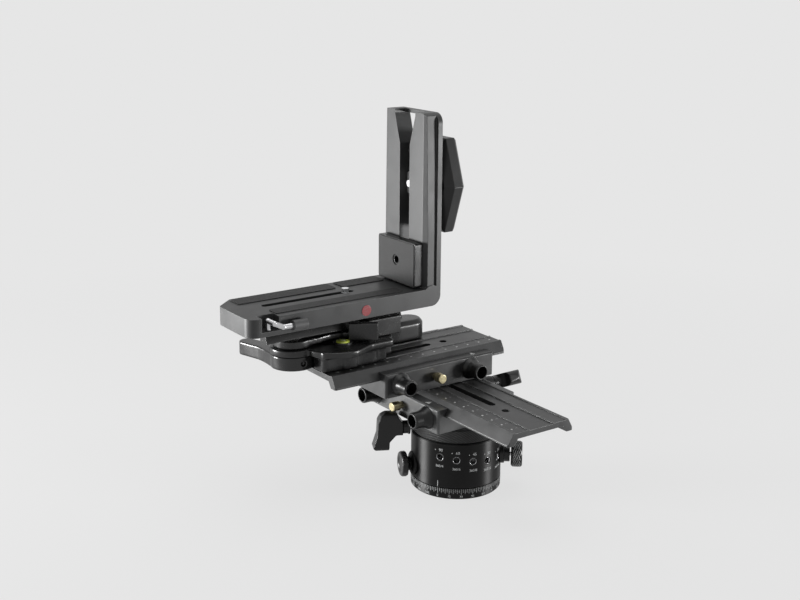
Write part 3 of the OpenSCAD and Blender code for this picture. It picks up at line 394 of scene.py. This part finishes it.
# %% Joining shapes, and turning curves and profiles into them
def add_shape(target, shape):
    """Adds one bmesh to another, and frees it."""
    mesh = bpy.data.meshes.new("mark")
    shape.to_mesh(mesh)
    shape.free()
    target.from_mesh(mesh)
    bpy.data.meshes.remove(mesh)


def from_curve(curve):
    """The bmesh of a flat curve or of text, which is then cleared away."""
    holder = linked("outline", curve)
    bpy.context.view_layer.update()
    graph = bpy.context.evaluated_depsgraph_get()
    mesh = bpy.data.meshes.new_from_object(holder.evaluated_get(graph))
    shape = bmesh.new()
    shape.from_mesh(mesh)
    bpy.data.objects.remove(holder)
    bpy.data.curves.remove(curve)
    bpy.data.meshes.remove(mesh)
    return shape


def revolved(points, centre=(0, 0, 0), steps=48):
    """A closed solid of revolution about a vertical axis, from (radius, height) points."""
    shape = bmesh.new()
    ring = [shape.verts.new((radius, 0, height)) for radius, height in points]
    for first, second in zip(ring, ring[1:]):
        shape.edges.new((first, second))
    if points[0][0] > 0:
        shape.edges.new((ring[-1], ring[0]))
    bmesh.ops.spin(shape, geom=shape.verts[:] + shape.edges[:], axis=(0, 0, 1), cent=(0, 0, 0),
                   angle=2 * math.pi, steps=steps, use_merge=True, use_duplicate=False)
    bmesh.ops.remove_doubles(shape, verts=shape.verts, dist=1e-7)
    bmesh.ops.translate(shape, vec=centre, verts=shape.verts)
    return shape


def radial_place(angle, height):
    """Turns local +Z outward at a world angle, and local +X downward, at a height."""
    return (Matrix.Translation((0, 0, height)) @ Matrix.Rotation(math.radians(angle), 4, "Z")
            @ Matrix.Rotation(math.radians(90), 4, "Y"))


print("Curves and profiles can become pieces")

# %% [markdown]
# ## Soft castings
# A die casting has no sharp edge: metal doesn't fill one, and the tool wears. Moulded levers
# are just as soft. These pieces are sharp in the CAD model. A merged copy of each gets a new
# skin from the Remesh modifier, and a few rounds of smoothing melt its edges while the flats
# stay in place. A Bevel modifier would need clean edge loops, which a tessellated model
# doesn't have. A thin leaf on the clamp's near side joins its body before the skin is made.

# %% Castings
def casting(node, material, voxel=0.0007, rounds=10, added=None):
    """A copy of a CAD node, and of what is added to it, with every edge melted round."""
    shape = bmesh.new()
    shape.from_mesh(parts[node].data)
    bmesh.ops.remove_doubles(shape, verts=shape.verts, dist=1e-6)
    if added:
        add_shape(shape, added)
    mesh = bpy.data.meshes.new(node + "_blank")
    shape.to_mesh(mesh)
    shape.free()
    blank = linked(node + "_blank", mesh)
    skin = blank.modifiers.new("skin", "REMESH")
    skin.mode = "VOXEL"
    skin.voxel_size = voxel
    melt = blank.modifiers.new("melt", "SMOOTH")
    melt.factor = 0.5
    melt.iterations = rounds
    bpy.context.view_layer.update()
    done = bmesh.new()
    done.from_object(blank, bpy.context.evaluated_depsgraph_get())
    bpy.data.objects.remove(blank)
    bpy.data.meshes.remove(mesh)
    for face in done.faces:
        face.smooth = True
    made = piece("cast_" + node, done, material, body_of[node])
    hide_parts(node)


def outlined(points, low, high):
    """A closed plate whose smooth outline is pulled towards points, from one height to another."""
    curve = bpy.data.curves.new("outline", "CURVE")
    curve.dimensions = "2D"
    curve.fill_mode = "BOTH"
    curve.extrude = (high - low) / 2
    curve.resolution_u = 8
    line = curve.splines.new("NURBS")
    line.points.add(len(points) - 1)
    for spot, (x, y) in zip(line.points, points):
        spot.co = (x * MM, y * MM, 0, 1)
    line.order_u = 3
    line.use_cyclic_u = True
    shape = from_curve(curve)
    bmesh.ops.remove_doubles(shape, verts=shape.verts, dist=1e-6)
    bmesh.ops.translate(shape, vec=(0, 0, (low + high) / 2), verts=shape.verts)
    return shape


LEAF_EDGE = [(-124, 48), (-119.5, 37), (-112.5, 29), (-104, 23.5), (-93, 21.5), (-84, 24),
             (-72, 30), (-58, 35), (-44, 39), (-38, 44), (-38, 60), (-50, 60), (-50, 46),
             (-64, 40), (-78, 36), (-92, 35), (-104, 36), (-112, 46), (-118, 54)]
LEAF_HEIGHTS = (0.1264, 0.1320)
casting("clamp_body", cast_coat, added=outlined(LEAF_EDGE, *LEAF_HEIGHTS))
casting("clamp_arm", cast_coat, voxel=0.0005, rounds=12)
casting("clamp_lever", cast_coat, voxel=0.0006, rounds=10)
casting("moving_jaw", cast_coat, voxel=0.0005, rounds=6)
for lever in ("platform_lever", "lower_lever", "upper_lever"):
    casting(lever, lever_plastic, voxel=0.0004, rounds=12)
casting("lock_knob", lever_plastic, voxel=0.0004, rounds=8)

# %% [markdown]
# ## Knurling
# A knurl is rolled into the metal by two hardened wheels, so its diamonds stand in even
# rows. Raising every second point of an even net, as on a chessboard, gives the same
# diamonds. The band is a closed ring, and its inner wall sits inside the piece it wraps.

# %% Finish of a knurl: black in the grooves, pale on the points as wear and as a painted highlight
def knurl_coat(name, centre, direction, radius, depth, point_wear_and_highlight=0.40):
    """Tells point from groove by the distance from the line through centre along direction."""
    finish = Finish(name)
    start = finish.node("ShaderNodeVectorMath", {"operation": "SUBTRACT"},
                        {0: finish.place, 1: centre})
    arm = finish.node("ShaderNodeVectorMath", {"operation": "CROSS_PRODUCT"},
                      {0: start, 1: direction})
    out = finish.node("ShaderNodeVectorMath", {"operation": "LENGTH"}, {0: arm}, output="Value")
    points = finish.ramp(out, radius - depth * 0.6, radius - depth * 0.1)
    wear_and_highlight = finish.ramp(finish.noise(0.003, 2), 0.3, 0.65, 0.45, 1.0)
    return finish.surface({
        # The pale points are partly wear and partly a painted highlight.
        "Base Color": finish.mix(points * wear_and_highlight, grey(0.004), grey(point_wear_and_highlight)),
        "Roughness": finish.ramp(points, 0.0, 1.0, 0.45, 0.30),
        "Specular IOR Level": 0.4,
    })


# %% Knurled bands
def knurled_band(name, radius, start, length, pitch, depth, material, body,
                 place=Matrix.Identity(4), straight=False):
    """A closed ring of diamonds, or of straight ribs, round local Z."""
    columns = 2 * round(math.pi * radius / pitch)
    rows = max(3, 2 * round(length / pitch)) if not straight else 1
    step = 2 * math.pi / columns
    rise = (length - 2 * depth) / rows
    inner = radius - depth - 0.0006
    points = [(inner, start), (radius - depth, start)]
    points += [(radius - depth, start + depth + rise * row) for row in range(rows + 1)]
    points += [(radius - depth, start + length), (inner, start + length)]
    band = revolved(points, steps=columns)
    for point in band.verts:
        out = math.hypot(point.co.x, point.co.y)
        if out < radius - depth - 0.0001:
            continue
        column = round(math.atan2(point.co.y, point.co.x) / step)
        row = round((point.co.z - start - depth) / rise)
        edge = point.co.z < start + depth * 0.5 or point.co.z > start + length - depth * 0.5
        if not edge and (column if straight else column + row) % 2 == 0:
            point.co.x *= radius / out
            point.co.y *= radius / out
    band.transform(place)
    piece(name, band, material, body)


COLLAR_RADIUS, COLLAR_DEPTH = 0.0389, 0.0005
PLUNGER_ANGLE, PLUNGER_HEIGHT, PLUNGER_RADIUS, PLUNGER_DEPTH = -41.0, 0.0285, 0.01155, 0.0006
LOCK_ANGLE, LOCK_HEIGHT, LOCK_RADIUS = 159.5, 0.0212, 0.01115
plunger_turn = math.radians(PLUNGER_ANGLE)
plunger_way = (math.cos(plunger_turn), math.sin(plunger_turn), 0.0)
collar_coat = knurl_coat("collar_coat", (0, 0, 0), (0, 0, 1), COLLAR_RADIUS, COLLAR_DEPTH, 0.03)
index_coat = knurl_coat("index_coat", (0, 0, PLUNGER_HEIGHT), plunger_way, PLUNGER_RADIUS,
                        PLUNGER_DEPTH)
knurled_band("collar_knurl", COLLAR_RADIUS, 0.0512, 0.0106, 0.0018, COLLAR_DEPTH, collar_coat,
             "platform")
knurled_band("index_knurl", PLUNGER_RADIUS, 0.0502, 0.0076, 0.0021, PLUNGER_DEPTH, index_coat,
             "plunger", radial_place(PLUNGER_ANGLE, PLUNGER_HEIGHT))
knurled_band("lock_knurl", LOCK_RADIUS, 0.0462, 0.0044, 0.0022, 0.0005, lever_plastic,
             "pan_lock", radial_place(LOCK_ANGLE, LOCK_HEIGHT), straight=True)

# %% [markdown]
# ## Engraved scales and numbers
# The scale ring carries a line every two and a half degrees and a number every fifteen. The
# drum has two numbers at each socket: the degrees between stops above it, and the share of a
# full turn below. A laser burns them through the black coat to bare metal. Here each is a
# sheet of metal a few hundredths of a millimetre thick, bent round the drum.

# %% Numbers as solid marks
def number_shape(text, height):
    """A bmesh of the text, centred in the XY plane, height metres tall."""
    curve = bpy.data.curves.new("number", "FONT")
    curve.body = text
    curve.size = height * 1.4
    curve.align_x = "CENTER"
    curve.align_y = "CENTER"
    curve.extrude = 0.00003
    curve.resolution_u = 3
    return from_curve(curve)


def bar_shape(width, height):
    """A flat bar, centred in the XY plane."""
    shape = bmesh.new()
    bmesh.ops.create_grid(shape, x_segments=1, y_segments=1, size=0.5)
    bmesh.ops.scale(shape, vec=(width, height, 1), verts=shape.verts)
    top = bmesh.ops.extrude_face_region(shape, geom=shape.faces[:])["geom"]
    corners = [part for part in top if isinstance(part, bmesh.types.BMVert)]
    bmesh.ops.translate(shape, vec=(0, 0, 0.00006), verts=corners)
    return shape


def dot_shape(radius):
    """A low round dot, a little narrower at its top."""
    shape = bmesh.new()
    bmesh.ops.create_cone(shape, cap_ends=True, segments=16, radius1=radius,
                          radius2=radius * 0.8, depth=0.00008)
    return shape


def add_wrapped(target, shape, radius, angle, height):
    """Bends a flat mark round the vertical axis, and adds it to target."""
    for point in shape.verts:
        turn = math.radians(angle) + point.co.x / radius
        out = radius + point.co.z
        point.co = Vector((out * math.cos(turn), out * math.sin(turn), height + point.co.y))
    add_shape(target, shape)


print("Marks can be drawn and wrapped")

# %% Scale ring
RING_RADIUS = 0.04001
ZERO = -150.5
MARK_STEP = 2.5
LONG_MARK, MIDDLE_MARK, SHORT_MARK = 0.0050, 0.0042, 0.0032
ring_scale = bmesh.new()
for mark in range(144):
    angle = ZERO + MARK_STEP * mark
    tall = LONG_MARK if mark % 6 == 0 else MIDDLE_MARK if mark % 2 == 0 else SHORT_MARK
    add_wrapped(ring_scale, bar_shape(0.00034, tall), RING_RADIUS, angle, 0.0094 - tall / 2)
    if mark % 6 == 0:
        degrees = number_shape(str(5 * mark // 2), 0.0021)
        add_wrapped(ring_scale, degrees, RING_RADIUS, angle, 0.0026)
piece("ring_scale", ring_scale, laser_mark, "base")

# %% Numbers on the drum
STOPS = (4, 6, 8, 12, 18, 24, 36, 72)
HELD_SOCKET = 5
FIRST_ANGLE, ANGLE_STEP = -148.5, 21.5
FIRST_HEIGHT, HEIGHT_STEP = 0.0375, 0.0018
open_sockets = [socket for socket in range(len(STOPS)) if socket != HELD_SOCKET]
drum_numbers = bmesh.new()
for socket in open_sockets:
    angle = FIRST_ANGLE + ANGLE_STEP * socket
    level = FIRST_HEIGHT - HEIGHT_STEP * socket
    degrees = number_shape(str(360 // STOPS[socket]), 0.0026)
    share = number_shape("360/" + str(STOPS[socket]), 0.0023)
    add_wrapped(drum_numbers, dot_shape(0.0005), RING_RADIUS, angle - 5.6, level + 0.0066)
    add_wrapped(drum_numbers, degrees, RING_RADIUS, angle + 1.5, level + 0.0068)
    add_wrapped(drum_numbers, share, RING_RADIUS, angle, level - 0.0078)
add_wrapped(drum_numbers, bar_shape(0.0005, 0.0058), RING_RADIUS, ZERO, 0.0133)
piece("drum_numbers", drum_numbers, laser_mark, "head")

# %% [markdown]
# ## Socket bushes
# Each click-stop socket is lined with a short bright bush, because a steel plunger would
# soon wear a hole in soft aluminium. A bush is a revolved tube with a chamfered mouth.

# %% Bushes
BUSH_WALL = [(0.00325, 0.0362), (0.00325, 0.0393), (0.00305, 0.0394), (0.00265, 0.0388),
             (0.00265, 0.0362)]
bushes = bmesh.new()
for socket in open_sockets:
    tube = revolved(BUSH_WALL, steps=32)
    tube.transform(radial_place(FIRST_ANGLE + ANGLE_STEP * socket,
                                FIRST_HEIGHT - HEIGHT_STEP * socket))
    add_shape(bushes, tube)
piece("socket_bushes", bushes, steel, "head")

# %% [markdown]
# ## Scales on the sliding plates
# A white dot with a burnt number beside it stands about every 12.5 mm along one side of each
# plate, and a small white arrow on the carriage points at them.

# %% Plate scales
def add_flat(target, shape, place):
    shape.transform(place)
    add_shape(target, shape)


def arrow_shape(size):
    """A flat triangle."""
    shape = bmesh.new()
    bmesh.ops.create_cone(shape, cap_ends=True, segments=3, radius1=size, radius2=size,
                          depth=0.00006)
    return shape


SCALE_COUNT = 14
LOWER_TOP, UPPER_TOP = 0.08742, 0.11292
quarter_turn = Matrix.Rotation(math.radians(-90), 4, "Z")
lower_scale = bmesh.new()
lower_numbers = bmesh.new()
for count in range(SCALE_COUNT):
    along = -0.1023 + 0.01245 * count
    add_flat(lower_numbers, number_shape(str(count + 1), 0.0022),
             Matrix.Translation((-0.0190, along, LOWER_TOP)) @ quarter_turn)
    add_flat(lower_scale, dot_shape(0.0010), Matrix.Translation((-0.0238, along, LOWER_TOP)))
piece("lower_scale", lower_scale, white_ink, "cross_slide")
piece("lower_numbers", lower_numbers, laser_mark, "cross_slide")

upper_scale = bmesh.new()
upper_numbers = bmesh.new()
for count in range(SCALE_COUNT):
    along = -0.1040 + 0.01275 * count
    add_flat(upper_numbers, number_shape(str(SCALE_COUNT - count), 0.0022),
             Matrix.Translation((along, 0.0362, UPPER_TOP)))
    add_flat(upper_scale, dot_shape(0.0010), Matrix.Translation((along, 0.0314, UPPER_TOP)))
piece("upper_scale", upper_scale, white_ink, "top_slide")
piece("upper_numbers", upper_numbers, laser_mark, "top_slide")

# %% Arrows on the carriages
ARROW_SIZE = 0.0032
lower_arrow = arrow_shape(ARROW_SIZE)
lower_arrow.transform(Matrix.Translation((-0.0372, -0.0083, 0.08402)) @ quarter_turn)
piece("lower_pointer", lower_arrow, white_ink, "platform")
upper_arrow = arrow_shape(ARROW_SIZE)
upper_arrow.transform(Matrix.Translation((0.0290, 0.0160, 0.10952)))
piece("upper_pointer", upper_arrow, white_ink, "cross_slide")

# %% [markdown]
# ## Bubble level
# The vial is a black cup with a domed cap over lime-green spirit. A thin black circle and one
# bubble show the middle. Each is a solid of revolution. The spirit is shown as a pale, clear
# coated solid, because clear liquid under a dark bracket would look black. The cup stands for
# the CAD's ring and the spirit for its vial; the circle and the bubble lie on the spirit.

# %% Finish of the spirit and the bubble
def spirit_finish(name, colour, gloss):
    finish = Finish(name)
    swirl = finish.noise(0.002, 2)
    deep = tuple(c * 0.8 for c in colour) + (1.0,)
    return finish.surface({
        "Base Color": finish.mix(finish.ramp(swirl, 0.3, 0.7), colour + (1.0,), deep),
        "Roughness": finish.ramp(swirl, 0.3, 0.7, gloss, gloss + 0.06),
        "Coat Weight": 1.0,
        "Coat Roughness": 0.04,
    })


spirit_green = spirit_finish("spirit", (0.72, 0.82, 0.12), 0.12)
bubble_green = spirit_finish("bubble", (0.85, 0.92, 0.50), 0.08)
print("The spirit and its bubble have a finish")

# %% Bubble level
LEVEL = (-0.090, 0.046, 0.0)
BUBBLE = (LEVEL[0] + 0.0004, LEVEL[1] - 0.0003, 0.0)
CUP_WALL = [(0.0062, 0.1300), (0.0083, 0.1300), (0.0083, 0.1338), (0.0080, 0.1341),
            (0.0066, 0.1342), (0.0062, 0.1340)]
SPIRIT_DOME = [(0, 0.1299), (0.0061, 0.1299), (0.0061, 0.1341), (0.0056, 0.1347),
               (0.0036, 0.1351), (0, 0.1352)]
CIRCLE_RIM = [(0.0033, 0.1349), (0.0036, 0.1349), (0.0036, 0.13520), (0.0033, 0.13524)]
BUBBLE_DOME = [(0, 0.1349), (0.0023, 0.1350), (0.0021, 0.13525), (0.0012, 0.13538),
               (0, 0.13542)]
cup = piece("vial_cup", revolved(CUP_WALL, LEVEL), cast_coat, body_of["bubble_ring"])
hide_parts("bubble_ring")
spirit = piece("vial_spirit", revolved(SPIRIT_DOME, LEVEL), spirit_green, "top_slide")
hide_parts("bubble_vial")
piece("vial_circle", revolved(CIRCLE_RIM, LEVEL), lever_plastic, "top_slide")
piece("vial_bubble", revolved(BUBBLE_DOME, BUBBLE), bubble_green, "top_slide")

# %% [markdown]
# ## The studio
# The object stands on a plain pale floor. Black metal shows little but what it mirrors, so
# two wide soft boxes stand low on either side, where the drum's wall and the plates' faces
# pick them up as bright bands, and a third hangs above. The floor and the world show their
# pale colour to the camera and in reflections, and light the object less than that.

# %% Floor
PAPER = 0.791


def stage_paper():
    finish = Finish("stage_paper")
    seen = finish.node("ShaderNodeLightPath", output="Is Camera Ray")
    mirrored = finish.node("ShaderNodeLightPath", output="Is Glossy Ray")
    through = finish.node("ShaderNodeLightPath", output="Is Transmission Ray")
    matte = finish.node("ShaderNodeBsdfDiffuse", {}, {"Color": (0.80, 0.80, 0.80, 1)})
    bright = finish.node("ShaderNodeEmission", {},
                         {"Color": (PAPER, PAPER, PAPER, 1), "Strength": 1.0})
    away = finish.node("ShaderNodeVectorMath", {"operation": "LENGTH"}, {0: finish.place},
                       output="Value")
    share = (seen + mirrored + through) * finish.ramp(away, 0.15, 0.9, 0.86, 1.0)
    return finish.close(finish.node("ShaderNodeMixShader", {}, {0: share, 1: matte, 2: bright}))


sheet = bmesh.new()
bmesh.ops.create_circle(sheet, cap_ends=True, segments=96, radius=12.0)
floor_mesh = bpy.data.meshes.new("floor")
sheet.to_mesh(floor_mesh)
sheet.free()
floor_mesh.materials.append(stage_paper())
floor = linked("floor", floor_mesh)
print("The floor is", round(floor.dimensions.x, 1), "m across")

# %% World
FILL_LIGHT = 0.30
world = bpy.data.worlds.new("studio")
bpy.context.scene.world = world
world.use_nodes = True
sky = world.node_tree.nodes["Background"]
sky.inputs["Color"].default_value = (PAPER, PAPER, PAPER, 1)
path = world.node_tree.nodes.new("ShaderNodeLightPath")
shown = world.node_tree.nodes.new("ShaderNodeMath")
clear = world.node_tree.nodes.new("ShaderNodeMath")
shown.operation = clear.operation = "MAXIMUM"
strength = world.node_tree.nodes.new("ShaderNodeMapRange")
strength.inputs["To Min"].default_value = FILL_LIGHT
for output, socket in ((path.outputs["Is Camera Ray"], shown.inputs[0]),
                       (path.outputs["Is Glossy Ray"], shown.inputs[1]),
                       (shown.outputs[0], clear.inputs[0]),
                       (path.outputs["Is Transmission Ray"], clear.inputs[1]),
                       (clear.outputs[0], strength.inputs["Value"]),
                       (strength.outputs[0], sky.inputs["Strength"])):
    world.node_tree.links.new(output, socket)
print("The world lights the object at", FILL_LIGHT, "of what is seen")

# %% Soft boxes
AIM = Vector((0.0, 0.0, 0.12))


def soft_box(name, place, wide, high, watts):
    lamp = bpy.data.lights.new(name, "AREA")
    lamp.shape = "RECTANGLE"
    lamp.size = wide
    lamp.size_y = high
    lamp.energy = watts
    box = linked(name, lamp)
    box.location = place
    box.rotation_euler = (AIM - Vector(place)).to_track_quat("-Z", "Y").to_euler()
    box.visible_camera = False


soft_box("left_box", (-0.96, 0.60, 0.10), 0.36, 0.18, 28)
soft_box("right_box", (0.86, -0.80, 0.12), 0.30, 0.20, 15)
soft_box("top_box", (0.1, 0.25, 1.5), 1.2, 1.2, 9)
print("Three soft boxes")

# %% Camera
IMAGE_WIDTH = 800
FOCAL_PIXELS = 1217.4
DROP_PIXELS = 75
HEADING, PITCH, ROLL = -35.268, 90 - 11.98, 0.434
camera = bpy.data.cameras.new("camera")
camera.sensor_width = 36
camera.lens = FOCAL_PIXELS * camera.sensor_width / IMAGE_WIDTH
camera.shift_y = -DROP_PIXELS / IMAGE_WIDTH
viewer = linked("camera", camera)
viewer.matrix_world = (Matrix.Translation((-0.6313, -0.8038, 0.4506))
                       @ Matrix.Rotation(math.radians(HEADING), 4, "Z")
                       @ Matrix.Rotation(math.radians(PITCH), 4, "X")
                       @ Matrix.Rotation(math.radians(ROLL), 4, "Z"))
bpy.context.scene.camera = viewer
bpy.context.scene.view_settings.view_transform = "Standard"
print("Camera", [round(v, 4) for v in viewer.location])
